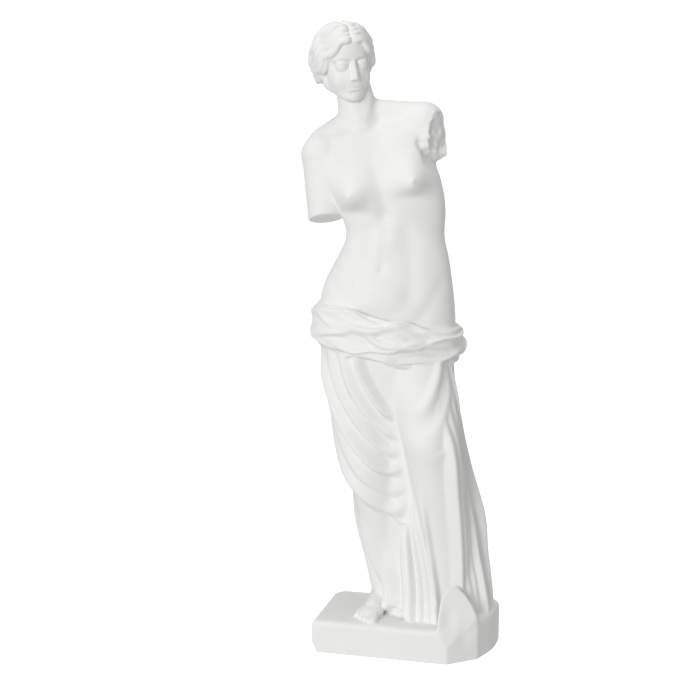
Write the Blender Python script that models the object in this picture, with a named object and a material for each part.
"""A white cast statuette: a half-draped classical goddess with broken arms, on a low plinth.

The figure is built up as a modeller would build it in clay. Balls, limbs and lofted columns are
laid into one another, melted together by a voxel remesh and smoothed. The mantle is a tube of
points wrapped onto the legs, and each fold is a line that lifts the points near it. The plinth is
two extruded and bevelled blocks with a rise like a rock, melted into the same skin. The head keeps
a finer skin of its own, and a union makes all of it one casting.
"""

import math

import bmesh
import bpy
import numpy as np
from mathutils import Matrix, Vector, noise
from mathutils.bvhtree import BVHTree

# Driving dimensions, in metres. X is the plinth's right end, Y its back
FIGURE_HEIGHT = 0.286
PLINTH_WIDTH = 0.086
PLINTH_DEPTH = 0.048
PLINTH_HEIGHT = 0.016
FRONT_CUT_WIDTH = 0.019
FRONT_CUT_DEPTH = 0.011
END_BEND_WIDTH = 0.006
END_BEND_DEPTH = 0.027
END_WIDTH = 0.014
END_RISES = 0.003
END_UNDERCUT = 0.005
SLOPE_FOOT = 0.008
EDGE_ROUNDING = 0.0026
CORNER_ROUNDING = 0.007
UNDER_FLOOR = 0.004

# How the figure stands on its plinth: turned in degrees, and moved in metres
FIGURE_TURN = 12.0
FIGURE_ASIDE = -0.003
FIGURE_BACK = 0.0005

# The figure's own forms are in parts, 288 to its whole height, so about a millimetre each.
# X is the figure's left, Y its back and Z is up from the plinth's top.
PARTS = 288.0
PART = FIGURE_HEIGHT / PARTS

# Fineness of the clay in parts: the broad forms, the face and foot, and the whole
BROAD_VOXEL = 1.1
FINE_VOXEL = 0.6
WHOLE_VOXEL = 0.8
BODY_TRIANGLES = 7000
HEAD_TRIANGLES = 2300

# Landmarks of the pose. Right and left are the figure's own.
RIGHT_SHOULDER = (-39.4, 1.0, 225.2)
LEFT_SHOULDER = (8.5, 1.0, 240.5)
NECK_ROOT = (-19.5, 4.5, 232.0)
NECK_TOP = (-24.5, 2.0, 256.0)
THROAT = (-20.1, -6.6, 238.6)
RIGHT_BREAST = (-24.5, -12.5, 208.5)
LEFT_BREAST = (2.6, -12.5, 216.0)
NAVEL = (-10.8, -19.0, 172.5)
SEAT = [((-23, 11, 139), (14.5, 13.0, 15.0)), ((4, 10.5, 137), (13.5, 12.5, 15.0))]
RIGHT_LEG = [(-23.0, 1.0, 137.0), (-15.5, -3.5, 75.0), (-5.5, 3.5, 11.4)]
LEFT_LEG = [(5.0, -2.0, 137.0), (12.0, -17.5, 91.0), (20.0, -8.0, 40.0), (22.0, -4.0, 14.0)]
RIGHT_SOLE = (-10.5, 6.5, -0.6)
FOOT_TURNED_OUT = 19.0
HEAD_AT = (-28.6, -1.5, 267.4)
HEAD_SIZE = 1.01
HEAD_TURNED, HEAD_TILTED, HEAD_BOWED = 22.0, -7.0, 5.0

# The broken arms. Each blow on the left one: the middle of the flat, the way it faces, its reach
RIGHT_ARM = [RIGHT_SHOULDER, (-37.0, -1.0, 186.0)]
RIGHT_ARM_CUT = ((-36.5, -2.5, 196.0), (0.12, -0.30, -0.94))
LEFT_ARM = [LEFT_SHOULDER, (12.5, 0.0, 230.0)]
LEFT_ARM_BLOWS = [
    ((14.6, -3.0, 236.0), (0.80, -0.58, -0.12), 13.0),
    ((13.0, -4.0, 226.5), (0.30, -0.50, -0.81), 10.0),
    ((11.5, -7.4, 231.0), (0.15, -0.95, -0.28), 8.0),
]
BREAK_GRAIN = 4.2
BREAK_ROUGHNESS = 1.2

# The trunk's and the skirt's cross-sections: height, middle X and Y, half width and half depth
TRUNK_STATIONS = [
    (237, -19.0, 3.5, 16.0, 9.0),
    (230, -17.0, 3.0, 23.0, 12.0),
    (222, -13.5, 2.0, 27.0, 14.5),
    (209, -8.8, 0.5, 27.2, 15.5),
    (199, -5.8, 0.0, 25.4, 14.5),
    (187, -4.4, 0.3, 23.6, 13.8),
    (177, -5.4, 0.0, 26.8, 14.8),
    (167, -7.3, 0.5, 30.2, 16.5),
    (155, -8.2, 1.5, 32.6, 18.5),
    (142, -8.3, 2.0, 33.0, 19.0),
    (126, -9.0, 1.5, 28.0, 16.0),
]
SKIRT_STATIONS = [
    (156, -8.4, 1.5, 30.5, 17.9),
    (137, -8.0, 1.0, 31.9, 20.4),
    (107, -5.0, 1.5, 27.8, 18.0),
    (92, -1.6, 2.0, 26.8, 16.2),
    (77, 1.4, 2.5, 27.4, 15.0),
    (47, 9.0, 2.5, 27.8, 14.5),
    (33, 12.2, 2.3, 25.5, 14.8),
    (17, 15.0, 2.0, 24.6, 15.5),
    (-6, 15.6, 1.5, 26.0, 16.5),
]

# The mantle's folds. Angles are in degrees round from the front, to the figure's left.
# A family: the first line, the last line, how many, height, width, and the fades at both ends
CLOTH_FOOT = -4.0
ARC = 26.0  # parts of cloth to a radian round the skirt
FOLD_STEPS = 26
FAR = 80.0
FAMILIES = [
    # From the hip to the knee
    ([(-38, 138), (-34, 122), (-16, 106), (4, 101)],
     [(-112, 132), (-88, 92), (-46, 56), (-8, 62)], 6, 3.6, 6.2, (0.2, 0.35)),
    ([(-58, 128), (-44, 104), (-22, 86), (-4, 86)],
     [(-96, 112), (-70, 76), (-36, 50), (-10, 52)], 4, 1.8, 2.6, (0.5, 0.4)),
    # Between the legs
    ([(10, 74), (4, 52), (2, 26), (3, -8)],
     [(-26, 50), (-38, 36), (-44, 18), (-46, -8)], 5, 3.8, 5.6, (0.4, 0.05)),
    # Down from the knee's outer side
    ([(42, 112), (38, 70), (38, 30), (40, -8)],
     [(70, 136), (66, 84), (66, 34), (72, -8)], 4, 5.0, 6.4, (0.3, 0.05)),
    ([(54, 92), (50, 60), (48, 30), (50, -8)],
     [(66, 70), (64, 50), (62, 30), (64, -8)], 2, 3.4, 3.4, (0.5, 0.05)),
    # Drawn over the thigh to the knee
    ([(60, 140), (44, 122), (26, 108), (8, 102)],
     [(70, 112), (56, 98), (38, 88), (18, 84)], 3, 1.7, 5.0, (0.3, 0.5)),
    # The free side
    ([(84, 136), (82, 88), (84, 40), (88, -8)],
     [(146, 132), (140, 88), (138, 40), (136, -8)], 5, 4.8, 6.6, (0.3, 0.05)),
    # The back
    ([(158, 112), (156, 84), (160, 44), (154, -8)],
     [(226, 116), (228, 84), (222, 44), (226, -8)], 6, 4.2, 6.2, (0.4, 0.05)),
    # The standing side
    ([(-64, 40), (-62, 26), (-60, 12), (-58, -8)],
     [(-122, 104), (-112, 74), (-108, 36), (-112, -8)], 5, 3.6, 5.2, (0.45, 0.05)),
]

# The roll round the hips
ROLL_HALF_WIDTH, ROLL_HALF_DEPTH = 32.5, 21.5
ROLL_FOLDS = 11
KNOT_AT = 64.0

# The rise on the plinth: the way its sloping face faces, and its corners in mm from the slope's foot
SLOPE_FACING = (0.453, -0.854, 0.255)
RISE_CORNERS = [(0, 0.3, -2), (12, 11, -2), (-5, 0, 7), (-5, 2, 14), (-4, 5, 24), (-2, 6.6, 28),
                (0.5, 8.5, 30), (3.5, 9.5, 28.5), (7, 10.5, 24.5), (10.5, 10.8, 19), (13, 10.8, 12.7),
                (-3, 17, -2), (15, 20, -2), (3, 15, 22), (12, 17, 10)]
MM = 0.001


# Points and meshes

def ease(t):
    t = np.clip(t, 0, 1)
    return t * t * (3 - 2 * t)


def smooth_line(knots, values):
    """A smooth curve through values at knots, read from a fine table."""
    order = np.argsort(knots)
    knots, values = np.array(knots, float)[order], np.array(values, float)[order]
    slopes = np.gradient(values, knots)
    fine = np.linspace(knots[0], knots[-1], 600)
    i = np.clip(np.searchsorted(knots, fine) - 1, 0, len(knots) - 2)
    gap = knots[i + 1] - knots[i]
    t = (fine - knots[i]) / gap
    ends = (2 * t**3 - 3 * t**2 + 1) * values[i] + (3 * t**2 - 2 * t**3) * values[i + 1]
    bends = (t**3 - 2 * t**2 + t) * slopes[i] + (t**3 - t**2) * slopes[i + 1]
    table = ends + gap * bends
    return lambda at: np.interp(at, fine, table)


def outwards(t):
    return np.stack([np.sin(t), -np.cos(t), np.zeros_like(t)], 1)


def points_of(mesh):
    points = np.empty(len(mesh.vertices) * 3, np.float32)
    mesh.vertices.foreach_get("co", points)
    return points.reshape(-1, 3).astype(float)


def normals_of(mesh):
    normals = np.empty(len(mesh.vertices) * 3, np.float32)
    mesh.vertex_normals.foreach_get("vector", normals)
    return normals.reshape(-1, 3).astype(float)


def move_points(mesh, points):
    mesh.vertices.foreach_set("co", points.astype(np.float32).ravel())
    mesh.update()


def away(points, line):
    """Each point's distance from a line through several points."""
    least = np.full(len(points), np.inf)
    for a, b in zip(line, line[1:]):
        a, step = np.array(a, float), np.subtract(b, a)
        t = np.clip((points - a) @ step / (step @ step), 0, 1)
        least = np.minimum(least, np.linalg.norm(points - a - t[:, None] * step, axis=1))
    return least


def mesh_of(shape):
    mesh = bpy.data.meshes.new("clay")
    shape.to_mesh(mesh)
    shape.free()
    return mesh


def add_mesh(shape, mesh, matrix=Matrix()):
    mesh.transform(matrix)
    shape.from_mesh(mesh)
    bpy.data.meshes.remove(mesh)


def placed(name, data):
    piece = bpy.data.objects.new(name, data)
    bpy.context.collection.objects.link(piece)
    return piece


def baked(piece):
    """The mesh that a piece's curve or modifiers give."""
    graph = bpy.context.evaluated_depsgraph_get()
    mesh = bpy.data.meshes.new_from_object(piece.evaluated_get(graph))
    bpy.data.objects.remove(piece)
    return mesh


# Clay: forms that are laid into one shape, melted and carved

def add_ball(shape, centre, radii, fineness=4):
    matrix = Matrix.Translation(centre) @ Matrix.Diagonal((*(np.ones(3) * radii), 1.0))
    return bmesh.ops.create_icosphere(shape, subdivisions=fineness, radius=1.0, matrix=matrix)["verts"]


def add_limb(shape, start, end, start_radius, end_radius):
    """A tapered rod with round ends."""
    start, end = Vector(start), Vector(end)
    along = end - start
    matrix = Matrix.Translation((start + end) / 2) @ along.to_track_quat("Z", "Y").to_matrix().to_4x4()
    bmesh.ops.create_cone(shape, cap_ends=True, segments=32, radius1=start_radius, radius2=end_radius,
                          depth=along.length, matrix=matrix)
    add_ball(shape, start, start_radius, fineness=3)
    add_ball(shape, end, end_radius, fineness=3)


def add_chain(shape, points, radii):
    for start, end, start_radius, end_radius in zip(points, points[1:], radii, radii[1:]):
        add_limb(shape, start, end, start_radius, end_radius)


def add_tube(shape, around, along, place, is_ring=False):
    """A grid rolled into a tube. place takes turns round and the share of its length, 0 to 1."""
    tube = bmesh.new()
    bmesh.ops.create_grid(tube, x_segments=around, y_segments=along, size=0.5)
    grid = np.array([v.co for v in tube.verts])
    for vertex, point in zip(tube.verts, place(grid[:, 0] + 0.5, grid[:, 1] + 0.5)):
        vertex.co = point
    bmesh.ops.remove_doubles(tube, verts=tube.verts, dist=0.001)
    if not is_ring:
        bmesh.ops.holes_fill(tube, edges=[e for e in tube.edges if e.is_boundary], sides=0)
    bmesh.ops.recalc_face_normals(tube, faces=tube.faces)
    add_mesh(shape, mesh_of(tube))


def add_strand(shape, points, radii):
    """A lock of hair: a bevelled curve through the points."""
    curve = bpy.data.curves.new("strand", "CURVE")
    curve.dimensions = "3D"
    curve.bevel_depth = 1.0
    curve.bevel_resolution = 3
    curve.use_fill_caps = True
    spline = curve.splines.new("POLY")
    spline.points.add(len(points) - 1)
    for knot, point, radius in zip(spline.points, points, radii):
        knot.co = (*point, 1.0)
        knot.radius = radius
    add_mesh(shape, baked(placed("strand", curve)))


def melted(shape, voxel, softness):
    """Makes overlapping forms one skin, and blends it over about the softness, both in parts."""
    piece = placed("clay", mesh_of(shape))
    remesh = piece.modifiers.new("melt", "REMESH")
    remesh.mode = "VOXEL"
    remesh.voxel_size = voxel
    smooth = piece.modifiers.new("smooth", "SMOOTH")
    smooth.factor = 0.5
    smooth.iterations = max(1, round(4 * (softness / voxel) ** 2))
    return baked(piece)


def thinned(mesh, triangles):
    piece = placed("clay", mesh)
    fewer = piece.modifiers.new("fewer triangles", "DECIMATE")
    fewer.ratio = triangles / (2 * len(mesh.polygons))
    return baked(piece)


def slice_off(shape, point, normal):
    """Cuts away what lies beyond a plane, and closes the cut."""
    everything = shape.verts[:] + shape.edges[:] + shape.faces[:]
    bmesh.ops.bisect_plane(shape, geom=everything, plane_co=point, plane_no=normal, clear_outer=True)
    bmesh.ops.holes_fill(shape, edges=[e for e in shape.edges if e.is_boundary], sides=0)


def groove(mesh, line, width, depth):
    """Carves a soft channel along a line. A negative depth raises a ridge."""
    points = points_of(mesh)
    profile = depth * np.exp(-((away(points, line) / width) ** 2))
    move_points(mesh, points - profile[:, None] * normals_of(mesh))


def press(mesh, centre, reach, push):
    """Moves the clay near a centre as a thumb would."""
    points = points_of(mesh)
    share = np.exp(-(((points - centre) / reach) ** 2).sum(1))
    move_points(mesh, points + share[:, None] * np.array(push))


def chip(mesh, point, facing, reach):
    """Pushes what stands beyond a plane back to it, and leaves the flat rough."""
    points, facing = points_of(mesh), np.array(facing) / np.linalg.norm(facing)
    beyond = (points - point) @ facing
    share = ease((reach - np.linalg.norm(points - point, axis=1)) / 3)
    touched = np.nonzero((share > 0) & (beyond > -1.5))[0]
    bumps = np.zeros(len(points))
    bumps[touched] = [noise.fractal(Vector(p) / BREAK_GRAIN, 1.0, 2.0, 3) for p in points[touched]]
    back = share * (np.maximum(beyond, 0) + BREAK_ROUGHNESS * bumps * ease((beyond + 1.5) / 1.5))
    move_points(mesh, points - back[:, None] * facing)


class Upright:
    """An upright form whose rounded cross-section changes with height."""

    def __init__(self, stations, squareness):
        knots, *columns = np.array(stations, float).T
        self.x, self.y, self.half_width, self.half_depth = (smooth_line(knots, c) for c in columns)
        self.low, self.high = knots.min(), knots.max()
        self.squareness = squareness

    def middle(self, z):
        return np.stack([self.x(z), self.y(z), z], 1)

    def surface(self, t, z):
        """The points at angle t round from the front, to the figure's left, and height z."""
        s, c, n = np.sin(t), np.cos(t), self.squareness
        reach = (np.abs(s / self.half_width(z)) ** n + np.abs(c / self.half_depth(z)) ** n) ** (-1 / n)
        return self.middle(z) + reach[:, None] * outwards(t)

    def add_to(self, shape, around, along):
        def place(u, v):
            return self.surface(math.tau * u - math.pi, self.low + v * (self.high - self.low))

        add_tube(shape, around, along, place)


TRUNK = Upright(TRUNK_STATIONS, 2.3)
SKIRT = Upright(SKIRT_STATIONS, 2.1)


# Body

def add_torso(shape):
    TRUNK.add_to(shape, 96, 70)
    add_ball(shape, (-10.5, -8.0, 158), (19.0, 10.5, 17.0))
    add_ball(shape, (-9, -9.0, 180), (12.0, 6.0, 14.0))
    for centre, radii in SEAT:
        add_ball(shape, centre, radii)


def add_shoulders(shape):
    add_limb(shape, (-22, 5, 243), (-38.6, 3.6, 230.6), 6.8, 8.0)
    add_limb(shape, (-15, 5, 245), (6, 3, 242.5), 6.8, 8.0)
    add_ball(shape, RIGHT_SHOULDER, (10.3, 9.8, 10.8))
    add_ball(shape, LEFT_SHOULDER, (10.3, 9.8, 10.3))
    add_ball(shape, (-29, -4.0, 218), (13.0, 7.0, 12.0))
    add_ball(shape, (-1.5, -4.0, 227), (14.0, 7.0, 12.5))
    add_ball(shape, (-31, -0.5, 228), (9.0, 7.0, 6.0))
    add_ball(shape, (-5, -0.5, 236), (12.0, 7.0, 6.0))
    add_ball(shape, (-27, 11, 222), (8.5, 4.8, 12.0))
    add_ball(shape, (-3, 11, 230), (8.5, 4.8, 12.0))
    add_limb(shape, (8, 4, 228), (8, 3, 205), 7, 7)
    add_limb(shape, NECK_ROOT, NECK_TOP, 10.4, 8.6)


def press_breasts(body):
    for (x, y, z), outward in ((RIGHT_BREAST, -1), (LEFT_BREAST, 1)):
        press(body, (x, y, z + 1.5), (9.5, 15.0, 10.0), (0.8 * outward, -4.8, -1.2))
        press(body, (x + 0.6 * outward, y - 3, z - 2.5), (6.6, 15.0, 5.8), (0.4 * outward, -3.6, -0.8))
        press(body, (x, y, z - 10.5), (8.5, 15.0, 3.2), (0, 1.7, 0.7))
        press(body, (x + 1.2 * outward, y - 5, z - 2.0), (1.1, 15.0, 1.1), (0, -1.2, 0))


def carve_body(body):
    """The hollows and ridges of the front and back, from the throat down to the hips."""
    chest = (-9.5, -15, 197)
    groove(body, [(-17, -13, 228), (-11, -17, 210), chest], 3.2, 0.9)
    groove(body, [chest, (-9.3, -16, 186), (-10.6, -18, 175)], 2.8, 0.75)
    for x, y, z in ((-16, -14, 192), (-2, -14, 193)):
        groove(body, [chest, (x, y, z), (2 * x + 9, y + 2.3, z - 7.5)], 3.4, 0.6)
    groove(body, [(-21, -14, 190), (-22.5, -14, 176), (-23, -14, 160)], 3.8, 0.75)
    groove(body, [(1.5, -14, 190), (3.0, -15, 176), (3.5, -15, 160)], 3.8, 0.75)
    groove(body, [(-33, -8, 166), (-24, -15, 153), (-17, -17, 147)], 3.2, 0.8)
    groove(body, [(16, -9, 164), (8, -14, 150), (3, -16, 144)], 3.2, 0.8)
    groove(body, [(-19, 17, 240), (-14.5, 17, 222), (-8, 15, 195), (-8, 17, 172), (-9, 22, 152)], 3.4, 1.8)
    groove(body, [(-18.4, -7.0, 238.4), (-8.0, -7.5, 240.0), (3.0, -4.5, 243.0)], 1.9, -0.8)
    groove(body, [(-22.2, -7.0, 237.4), (-30.0, -5.5, 233.8), (-38.0, -3.0, 231.0)], 1.9, -0.8)
    groove(body, [(-29.8, 0.5, 257), THROAT], 2.2, -0.9)
    groove(body, [(-14.6, -1.5, 257), THROAT], 2.2, -0.6)
    press(body, THROAT, (2.2, 4.0, 2.6), (0, 1.5, 0))
    press(body, NAVEL, (1.5, 4.0, 2.0), (0, 2.8, 0.4))


def add_arm(shape, arm, radii, cut=None):
    rod = bmesh.new()
    add_limb(rod, *arm, *radii)
    if cut:
        rod_clay = melted(rod, FINE_VOXEL, FINE_VOXEL)
        rod = bmesh.new()
        add_mesh(rod, rod_clay)
        slice_off(rod, *cut)
    add_mesh(shape, mesh_of(rod))


def body():
    shape = bmesh.new()
    add_torso(shape)
    add_shoulders(shape)
    clay = melted(shape, BROAD_VOXEL, 2.2)
    press_breasts(clay)
    carve_body(clay)
    shape = bmesh.new()
    add_mesh(shape, clay)
    add_arm(shape, RIGHT_ARM, (9.6, 8.2), RIGHT_ARM_CUT)
    add_arm(shape, LEFT_ARM, (9.8, 8.8))
    clay = melted(shape, FINE_VOXEL, 0.6)
    for blow in LEFT_ARM_BLOWS:
        chip(clay, *blow)
    return clay


def foot():
    """The bare right foot, with five toes that step back from the big one."""
    shape = bmesh.new()
    add_ball(shape, (0, 5, 4), (4.8, 5.8, 4.8))
    add_limb(shape, (0, 1, 8.6), (0.4, -13, 4.4), 5.2, 4.2)
    add_ball(shape, (0.2, -15, 3.0), (6.2, 7.0, 3.2))
    for toe in range(5):
        x = 4.3 - 2.55 * toe
        back = 0.32 * toe * toe
        radius = 1.85 if toe == 0 else 1.32 - 0.05 * toe
        joints = [(x * 0.8, -17, 2.8), (x, -21.3 + back, 3.0), (x * 1.05, -24.6 + back, 1.5)]
        add_chain(shape, joints, [radius, radius * 0.9, radius])
    clay = melted(shape, FINE_VOXEL * 0.75, 0.4)
    clay.transform(Matrix.Translation(RIGHT_SOLE) @ Matrix.Rotation(math.radians(-FOOT_TURNED_OUT), 4, "Z"))
    return clay


# Mantle

def legs_under_cloth():
    shape = bmesh.new()
    SKIRT.add_to(shape, 72, 60)
    add_chain(shape, RIGHT_LEG, [18.0, 12.3, 7.0])
    add_chain(shape, LEFT_LEG, [17.5, 12.2, 10.0, 9.0])
    for centre, radii in SEAT:
        add_ball(shape, centre, radii)
    return melted(shape, BROAD_VOXEL, 2.2)


def guide(points):
    """A smooth line over the cloth, from points given as (degrees round, height)."""
    share = np.linspace(0, 1, len(points))
    fine = np.linspace(0, 1, FOLD_STEPS)
    return np.stack([smooth_line(share, [p[axis] for p in points])(fine) for axis in (0, 1)], 1)


def lay_fold(h, degrees, z, line, height, width, fades):
    """Lays one round fold along a line, wherever it stands higher than what is there."""
    middle = line[:, 0].mean()
    apart = (degrees - middle + 180) % 360 - 180
    x, line_x = np.radians(apart) * ARC, np.radians(line[:, 0] - middle) * ARC
    least, aside, share = np.full(len(z), 1e9), np.zeros(len(z)), np.zeros(len(z))
    for k in range(FOLD_STEPS - 1):
        ax, az = line_x[k], line[k, 1]
        sx, sz = line_x[k + 1] - ax, line[k + 1, 1] - az
        t = np.clip(((x - ax) * sx + (z - az) * sz) / (sx * sx + sz * sz), 0, 1)
        dx, dz = x - ax - t * sx, z - az - t * sz
        distance = dx * dx + dz * dz
        nearer = distance < least
        least = np.where(nearer, distance, least)
        aside = np.where(nearer, np.sign(sx * dz - sz * dx), aside)
        share = np.where(nearer, (k + t) / (FOLD_STEPS - 1), share)
    steep = np.where(aside > 0, 1.0, 0.6)
    side = np.clip(np.sqrt(least) / (width * steep * (0.7 + 0.5 * share)), 0, 1)
    ends = ease((share + 0.02) / fades[0]) * ease((1.02 - share) / fades[1])
    np.maximum(h, height * ends * np.cos(np.pi / 2 * side) ** 2, out=h)


def lay_family(h, degrees, z, first, last, count, height, width, fades):
    """Lays folds that lead over from a first line to a last one, no two of them quite alike."""
    first, last = guide(first), guide(last)
    along = np.linspace(0, 1, FOLD_STEPS)
    for fold in range(count):
        share = fold / max(1, count - 1)
        line = first * (1 - share) + last * share
        line[:, 0] += 1.5 * np.sin(6 * along + 2.3 * fold) * along
        tall = height * (0.86 + 0.26 * math.sin(2.4 * fold + 1))
        lay_fold(h, degrees, z, line, tall, width * (0.95 + 0.22 * math.sin(1.7 * fold)), fades)


def folds_of_mantle(t, z):
    h = np.zeros_like(z)
    for first, last, count, height, width, fades in FAMILIES:
        lay_family(h, np.degrees(t), z, first, last, count, height, width, fades)
    return h


def lifted_hem(t):
    """How high the hem hangs: it lifts over the foot."""
    return 6.5 * np.exp(-(((np.degrees(t) + 60) / 13) ** 2))


def roll_height(t):
    return 140.8 - 4.4 * np.sin(t) - 2.0 * np.cos(t)


def add_cloth(shape, around, along):
    core = bmesh.new()
    add_mesh(core, legs_under_cloth())
    tree = BVHTree.FromBMesh(core)
    core.free()

    def place(u, v):
        t = math.tau * u - math.pi
        z = CLOTH_FOOT + v * (roll_height(t) + 2 - CLOTH_FOOT)
        middle, out = SKIRT.middle(z), outwards(t)
        gaps = [tree.ray_cast(Vector(a), Vector(b))[3] for a, b in zip(middle + FAR * out, -out)]
        under = ease((lifted_hem(t) - z) / 1.8)
        reach = FAR - np.array(gaps) + folds_of_mantle(t, z) * (1 - 0.5 * under) - 3.6 * under
        return middle + reach[:, None] * out

    add_tube(shape, around, along, place)


def roll_folds(t, section):
    """Long folds that run side by side round the roll, wander, swell and end."""
    lift = np.zeros_like(t)
    for k in range(ROLL_FOLDS):
        at = (k - 5) * 0.34 + 0.34 * np.sin(2 * t + 1.7 * k) + 0.22 * np.sin(3 * t + 2.9 * k)
        at += 0.07 * np.sin(9 * t + k)
        wide = 0.27 + 0.08 * np.sin(3 * t + 1.3 * k)
        high = 2.1 + 0.8 * np.sin(2 * t + 2.1 * k) + 0.5 * np.sin(5 * t + 1.3 * k)
        high *= 1 - 0.45 * np.exp(-(((np.degrees(t) + 95) / 25) ** 2))
        aside = (section - at + np.pi) % math.tau - np.pi
        lift = np.maximum(lift, high * np.cos(np.pi / 2 * np.clip(aside / wide, -1, 1)) ** 2)
    return lift


def add_hip_roll(shape, around, across):
    """The top of the mantle, gathered round the hips."""

    def place(u, v):
        t, section = math.tau * u - math.pi, math.tau * v
        knot = np.exp(-(((np.degrees(t) - KNOT_AT) / 17) ** 2))
        half = 8.2 + 2.2 * np.sin(-t + 0.4) + 0.8 * np.sin(5 * t) + 1.5 * knot
        thick = 3.4 + 0.8 * np.sin(3 * t + 1) + 2.0 * knot
        bulge = roll_folds(t, section)
        out, up = (thick + bulge) * np.cos(section), (half + 0.8 * bulge) * np.sin(section)
        hips = (np.sin(t) / ROLL_HALF_WIDTH) ** 2 + (np.cos(t) / ROLL_HALF_DEPTH) ** 2
        z = roll_height(t)
        return SKIRT.middle(z) + (hips**-0.5 + out)[:, None] * outwards(t) + up[:, None] * np.array((0, 0, 1))

    add_tube(shape, around, across, place, is_ring=True)


# Head, in its own frame: X is its left, Y its back, and its eyes are at height 0

EYE_ASIDE = 4.6
CROWN = np.array((0.0, 3.6, 5.2))
COMBED_FROM = np.array((0.80, 0.42, -0.43))
STRANDS = 8.5
KNOT = np.array((0.0, 19.6, -4.5))
LOW_LOCK = [(0.6, -11.9, 12.2), (4.8, -11.5, 10.4), (9.4, -7.4, 5.2), (11.9, -2.6, 0.4),
            (12.0, 3.5, -4.2), (9, 10.5, -7.4), (2, 16, -7.5)]
HIGH_LOCK = [(0.6, -7.0, 17.2), (4.8, -6.0, 16.8), (9.6, -2.4, 13.4), (12.8, 2.2, 8.2),
             (12.9, 7.4, 2.4), (9.5, 13.5, -1.8), (2, 18, -2.0)]
LOCKS = 4


def skull():
    shape = bmesh.new()
    add_ball(shape, (0, 3, 4.5), (12.2, 15.6, 13.6))
    add_ball(shape, (0, -3.6, 6), (10.6, 9.8, 10.5))
    add_ball(shape, (0, -4.0, -4.8), (9.8, 9.3, 11.2))
    for side in (1, -1):
        add_limb(shape, (7.3 * side, 1.0, -7.6), (2.2 * side, -8.0, -13.0), 3.7, 3.3)
        add_ball(shape, (4.9 * side, -7.4, -6.0), (4.5, 4.4, 5.2))
    add_ball(shape, (0, -9.4, -13.8), (3.6, 3.0, 2.9))
    clay = melted(shape, FINE_VOXEL, 1.3)
    for side in (1, -1):
        press(clay, (EYE_ASIDE * side, -11.5, 0.4), (3.1, 4.0, 2.0), (0, 1.4, 0))
        press(clay, (2.3 * side, -12.5, 0.6), (1.4, 4.0, 2.2), (0, 0.9, 0))
        brow = [(1.4 * side, -13.0, 3.2), (4.9 * side, -12.0, 4.0), (8.2 * side, -9.3, 2.8)]
        groove(clay, brow, 1.2, -0.55)
    return clay


def add_lid(shape, centre, radii, edge, normal):
    """Part of a ball over the eye, cut along the edge of the lid."""
    lid = bmesh.new()
    add_ball(lid, centre, radii)
    slice_off(lid, edge, normal)
    add_mesh(shape, mesh_of(lid))


def face():
    shape = bmesh.new()
    add_mesh(shape, skull())
    for side in (1, -1):
        eye = (EYE_ASIDE * side, -9.6, 0.0)
        add_ball(shape, eye, (3.2, 2.85, 2.7))
        add_lid(shape, eye, (3.6, 3.3, 3.1), (eye[0], -12, 1.0), (0.12 * side, 0.3, -1))
        add_lid(shape, eye, (3.35, 3.05, 2.85), (eye[0], -12, -1.35), (-0.05 * side, 0.15, 1))
        add_ball(shape, (1.35 * side, -12.9, -6.0), (1.05, 1.7, 1.05))
        upper_lip = [(0, -12.2, -9.45), (1.2 * side, -12.1, -9.25), (3.4 * side, -10.9, -9.9)]
        lower_lip = [(0, -12.0, -10.85), (1.3 * side, -11.9, -10.8), (3.1 * side, -10.9, -10.3)]
        add_chain(shape, upper_lip, [0.72, 0.78, 0.45])
        add_chain(shape, lower_lip, [0.92, 0.84, 0.45])
        add_limb(shape, (11.2 * side, 0.6, -2.5), (10.8 * side, 1.0, -5.0), 1.6, 1.2)
    add_limb(shape, (0, -11.7, 3.8), (0, -14.2, -5.0), 1.15, 1.3)
    add_ball(shape, (0, -14.1, -5.5), (1.45, 1.5, 1.35))
    add_ball(shape, (0, -10.4, -9.6), (4.6, 2.2, 3.4))
    add_ball(shape, (0, -10.0, -12.2), (3.4, 1.9, 2.0))
    clay = melted(shape, FINE_VOXEL * 0.6, 0.4)
    half_mouth = [(0, -12.9, -10.15), (1.2, -12.7, -9.95), (3.5, -11.2, -10.1)]
    for side in (1, -1):
        groove(clay, [(x * side, y, z) for x, y, z in half_mouth], 0.42, 0.4)
    groove(clay, [(-1.6, -11.9, -12.2), (0, -12.2, -12.3), (1.6, -11.9, -12.2)], 0.9, 0.4)
    return clay


def add_crown(shape):
    """Hair combed in waved strands from the parting to the nape."""
    crown = bmesh.new()
    add_ball(crown, CROWN, (13.6, 16.6, 14.6), fineness=6)
    points = np.array([v.co for v in crown.verts])
    out = points - CROWN
    out[:, 0] = np.abs(out[:, 0])
    out /= np.linalg.norm(out, axis=1)[:, None]
    pole = COMBED_FROM / np.linalg.norm(COMBED_FROM)
    first = np.array((0, -0.7, 0.7))
    first -= pole * (first @ pole)
    first /= np.linalg.norm(first)
    round_pole = np.arctan2(out @ np.cross(pole, first), out @ first)
    from_pole = np.arccos(np.clip(out @ pole, -1, 1))
    strands = np.abs(np.sin(STRANDS * (round_pole + 0.09 * np.sin(9 * from_pole)))) - 0.6
    rise = 0.6 * strands * ease((from_pole - 0.25) / 0.4)
    rise -= 1.3 * np.exp(-((points[:, 0] / 1.0) ** 2)) * ease((8 - points[:, 1]) / 6)
    scale = 1 + rise / np.linalg.norm(points - CROWN, axis=1)
    for vertex, point in zip(crown.verts, CROWN + (points - CROWN) * scale[:, None]):
        vertex.co = point
    slice_off(crown, (0, -11.0, 12.5), (0, -0.66, -0.75))
    add_mesh(shape, mesh_of(crown))


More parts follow.
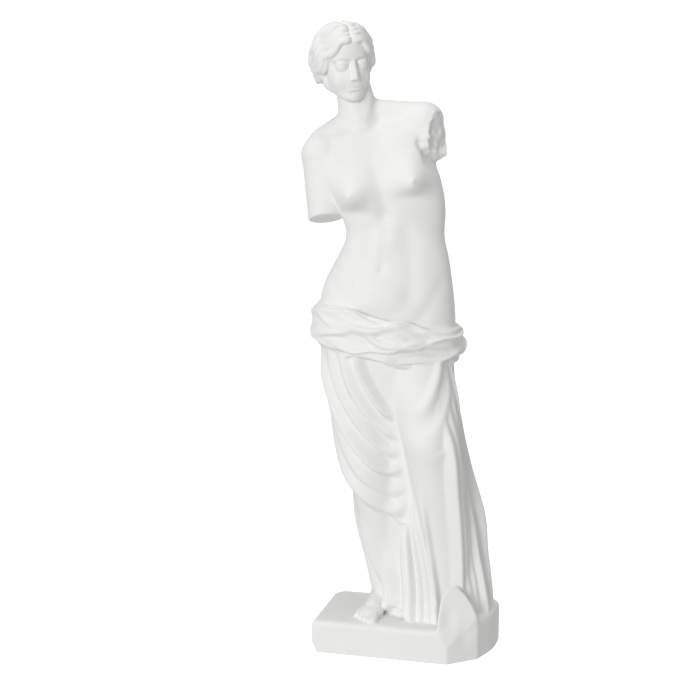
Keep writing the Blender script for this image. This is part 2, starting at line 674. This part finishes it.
def add_locks(shape):
    """Waved locks that frame the face and are drawn back to the knot."""
    share = np.linspace(0, 1, len(LOW_LOCK))
    along = np.linspace(0, 1, 60)
    for lock in range(LOCKS):
        rise = lock / (LOCKS - 1)
        line = np.array(LOW_LOCK) * (1 - rise) + np.array(HIGH_LOCK) * rise
        path = np.stack([smooth_line(share, line[:, axis])(along) for axis in range(3)], 1)
        forward = np.gradient(path, axis=0)
        out = path - CROWN
        aside = np.cross(forward, out)
        aside /= np.linalg.norm(aside, axis=1)[:, None]
        out /= np.linalg.norm(out, axis=1)[:, None]
        wave = np.sin(4.5 * math.tau * along + 0.9 * rise) * np.sin(np.pi * along) ** 0.5
        path = path + 0.9 * wave[:, None] * aside + 0.35 * wave[:, None] * out
        radii = 1.15 + 1.15 * np.sin(np.pi * np.clip(along * 1.15, 0, 1)) ** 0.7
        for side in (1, -1):
            add_strand(shape, path * np.array((side, 1, 1)), radii)


def add_knot(shape):
    """The hair gathered and coiled at the nape."""
    verts = add_ball(shape, KNOT, (6.6, 5.6, 6.0), fineness=5)
    for vertex in verts:
        out = vertex.co - Vector(KNOT)
        reach = math.hypot(out.x, out.z)
        coil = abs(math.sin(2.5 * math.atan2(out.z, out.x) + 0.75 * reach)) - 0.5
        vertex.co += out.normalized() * 0.7 * coil * min(1.0, reach / 2)


def head():
    shape = bmesh.new()
    add_mesh(shape, face())
    add_crown(shape)
    add_locks(shape)
    add_knot(shape)
    clay = melted(shape, FINE_VOXEL * 0.6, 0.25)
    turned = Matrix.Rotation(math.radians(HEAD_TURNED), 4, "Z")
    tilted = Matrix.Rotation(math.radians(HEAD_TILTED), 4, "Y")
    bowed = Matrix.Rotation(math.radians(HEAD_BOWED), 4, "X")
    clay.transform(Matrix.Translation(HEAD_AT) @ turned @ tilted @ bowed @ Matrix.Scale(HEAD_SIZE, 4))
    return clay


# Plinth, in metres

def slope_start():
    return Vector((PLINTH_WIDTH / 2 - FRONT_CUT_WIDTH, -PLINTH_DEPTH / 2, SLOPE_FOOT))


def slab(outline, height):
    """An upright block with a round top edge, which goes down through the floor."""
    shape = bmesh.new()
    base = shape.faces.new([shape.verts.new((*at, -UNDER_FLOOR)) for at in outline])
    grown = bmesh.ops.extrude_face_region(shape, geom=[base])["geom"]
    raised = [v for v in grown if isinstance(v, bmesh.types.BMVert)]
    bmesh.ops.translate(shape, vec=(0, 0, UNDER_FLOOR + height), verts=raised)
    bmesh.ops.recalc_face_normals(shape, faces=shape.faces)
    upright = [e for e in shape.edges if e.verts[0].co.z != e.verts[1].co.z]
    back = [e for e in upright if e.verts[0].co.y > 0]
    bmesh.ops.bevel(shape, geom=back, offset=CORNER_ROUNDING, segments=6, profile=0.5, affect="EDGES")
    top = [e for e in shape.edges if min(v.co.z for v in e.verts) > 0]
    left = [e for e in shape.edges if e.verts[0].co.z != e.verts[1].co.z and e.verts[0].co.x < 0
            and e.verts[0].co.y == -PLINTH_DEPTH / 2]
    bmesh.ops.bevel(shape, geom=top + left, offset=EDGE_ROUNDING, segments=4, profile=0.5, affect="EDGES")
    return shape


def add_plinth(shape, matrix):
    """The block with its cut corner, and its right end, which stands a little higher."""
    x, y = PLINTH_WIDTH / 2, PLINTH_DEPTH / 2
    cut_start = (x - FRONT_CUT_WIDTH, -y)
    cut_end = (x - END_BEND_WIDTH, FRONT_CUT_DEPTH - y)
    bend = (x, END_BEND_DEPTH - y)
    base = slab([(-x, -y), cut_start, cut_end, bend, (x, y), (-x, y)], PLINTH_HEIGHT)
    slice_off(base, (-x, 0, END_UNDERCUT), (-0.9, 0, -0.45))
    inner = x - END_WIDTH
    end = slab([cut_end, bend, (x, y), (inner, y), (inner, cut_end[1])], PLINTH_HEIGHT + END_RISES)
    for block in (base, end):
        slice_off(block, slope_start(), SLOPE_FACING)
        add_mesh(shape, mesh_of(block), matrix)


def add_rise(shape, matrix):
    """A rise like a rock that leans on the mantle, with one sloping face down to the cut corner."""
    rock = bmesh.new()
    for corner in RISE_CORNERS:
        rock.verts.new(slope_start() + Vector(corner) * MM)
    bmesh.ops.convex_hull(rock, input=rock.verts)
    bmesh.ops.recalc_face_normals(rock, faces=rock.faces)
    slice_off(rock, slope_start(), SLOPE_FACING)
    add_mesh(shape, mesh_of(rock), matrix)


# The whole

def casting():
    """The figure and the plinth as one skin, in metres, where they stand."""
    stand = Matrix.Translation((FIGURE_ASIDE, FIGURE_BACK, PLINTH_HEIGHT))
    stand = stand @ Matrix.Rotation(math.radians(FIGURE_TURN), 4, "Z") @ Matrix.Scale(PART, 4)
    shape = bmesh.new()
    for clay in (body(), foot()):
        add_mesh(shape, clay)
    around = round(190 / WHOLE_VOXEL)
    add_cloth(shape, around, round(120 / WHOLE_VOXEL))
    add_hip_roll(shape, around, round(44 / WHOLE_VOXEL))
    add_plinth(shape, stand.inverted())
    add_rise(shape, stand.inverted())
    joined = placed("joined", thinned(melted(shape, WHOLE_VOXEL, 0.55), BODY_TRIANGLES))
    head_piece = placed("head", thinned(head(), HEAD_TRIANGLES))
    union = joined.modifiers.new("head on", "BOOLEAN")
    union.operation = "UNION"
    union.object = head_piece
    whole = bmesh.new()
    add_mesh(whole, baked(joined), stand)
    bpy.data.objects.remove(head_piece)
    slice_off(whole, (0, 0, 0), (0, 0, -1))
    bmesh.ops.triangulate(whole, faces=whole.faces)
    return mesh_of(whole)


def cast_white():
    material = bpy.data.materials.new("white cast plaster")
    material.use_nodes = True
    surface = material.node_tree.nodes["Principled BSDF"]
    surface.inputs["Base Color"].default_value = (0.86, 0.86, 0.85, 1.0)
    surface.inputs["Roughness"].default_value = 0.62
    surface.inputs["Metallic"].default_value = 0.0
    return material


def main():
    for old in list(bpy.data.objects):
        bpy.data.objects.remove(old)
    statuette = placed("statuette", casting())
    statuette.data.materials.append(cast_white())
    statuette.data.shade_smooth()


if __name__ == "__main__":
    main()
